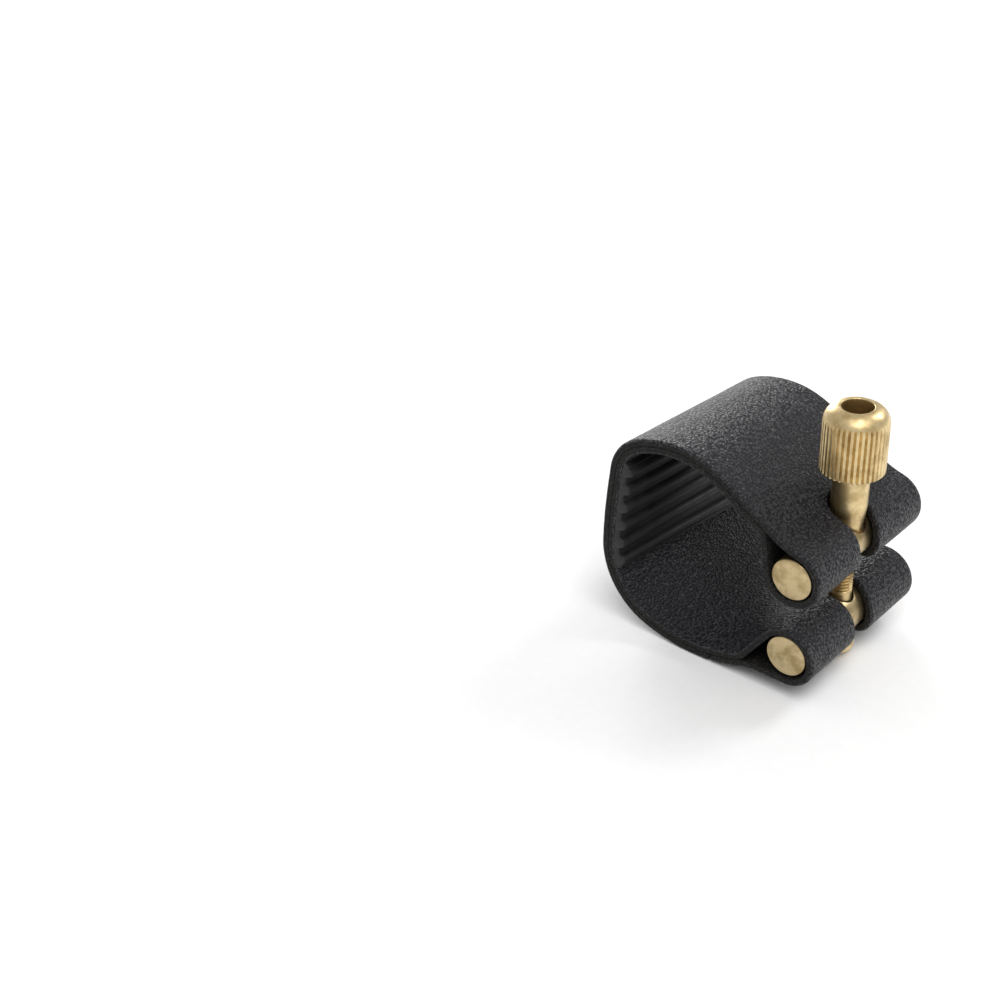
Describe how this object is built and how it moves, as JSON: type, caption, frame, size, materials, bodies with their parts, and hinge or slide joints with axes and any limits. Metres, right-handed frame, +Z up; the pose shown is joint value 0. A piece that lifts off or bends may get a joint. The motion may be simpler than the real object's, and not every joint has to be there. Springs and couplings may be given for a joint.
{
  "type": "saxophone ligature",
  "caption": "Doubled leather band that wraps a mouthpiece and reed, with looped ends round two brass bars drawn together by one knurled thumb nut.",
  "frame": {"origin": "on the mouthpiece axis, half way along the band", "axes": "+Y along the mouthpiece from the wide front end to the narrower rear end, +Z up along the screw towards the thumb nut, +X from the mouthpiece axis towards the cross-bars"},
  "size_m": [0.0347, 0.0258, 0.0378],
  "materials": {
    "leather": "pebble-grained black leather, low sheen",
    "rubber": "black moulded rubber, satin",
    "brass": "turned, satin brushed",
    "brass_bolt": "turned and threaded",
    "brass_nut": "turned and straight knurled, satin"
  },
  "bodies": {
    "wall": {"wall_outer_ply": "leather", "wall_inner_ply": "leather", "belly_flap": "leather", "reed_pad": "rubber"},
    "arm": {"arm_outer_ply": "leather", "arm_inner_ply": "leather"},
    "upper_bar": {"upper_bar": "brass"},
    "lower_bar": {"lower_bar": "brass", "clamp_bolt": "brass_bolt"},
    "thumb_nut": {"thumb_nut": "brass_nut"}
  },
  "joints": [
    {"name": "arm_flex", "type": "hinge", "parent": "wall", "child": "arm", "pos_m": [-0.0074, 0, 0.01135], "axis": [0, 1, 0], "range_deg": [-4.3, 1.1]},
    {"name": "upper_bar_swivel", "type": "hinge", "parent": "arm", "child": "upper_bar", "pos_m": [0.0185, 0, 0.0023], "axis": [0, 1, 0], "range_deg": [-1.75, 6.95]},
    {"name": "lower_bar_swivel", "type": "hinge", "parent": "wall", "child": "lower_bar", "pos_m": [0.0185, 0, -0.0097], "axis": [0, 1, 0], "range_deg": [-0.68, 2.66]},
    {"name": "nut_turn", "type": "hinge", "parent": "upper_bar", "child": "thumb_nut", "pos_m": [0.0185, 0.0005, 0.0023], "axis": [0, 0, 1], "range_deg": [-360, 1440]}
  ],
  "couplings": [
    {"joint": "arm_flex", "follows": "nut_turn", "ratio": -0.0029552},
    {"joint": "upper_bar_swivel", "follows": "nut_turn", "ratio": 0.0047812},
    {"joint": "lower_bar_swivel", "follows": "nut_turn", "ratio": 0.001826}
  ]
}
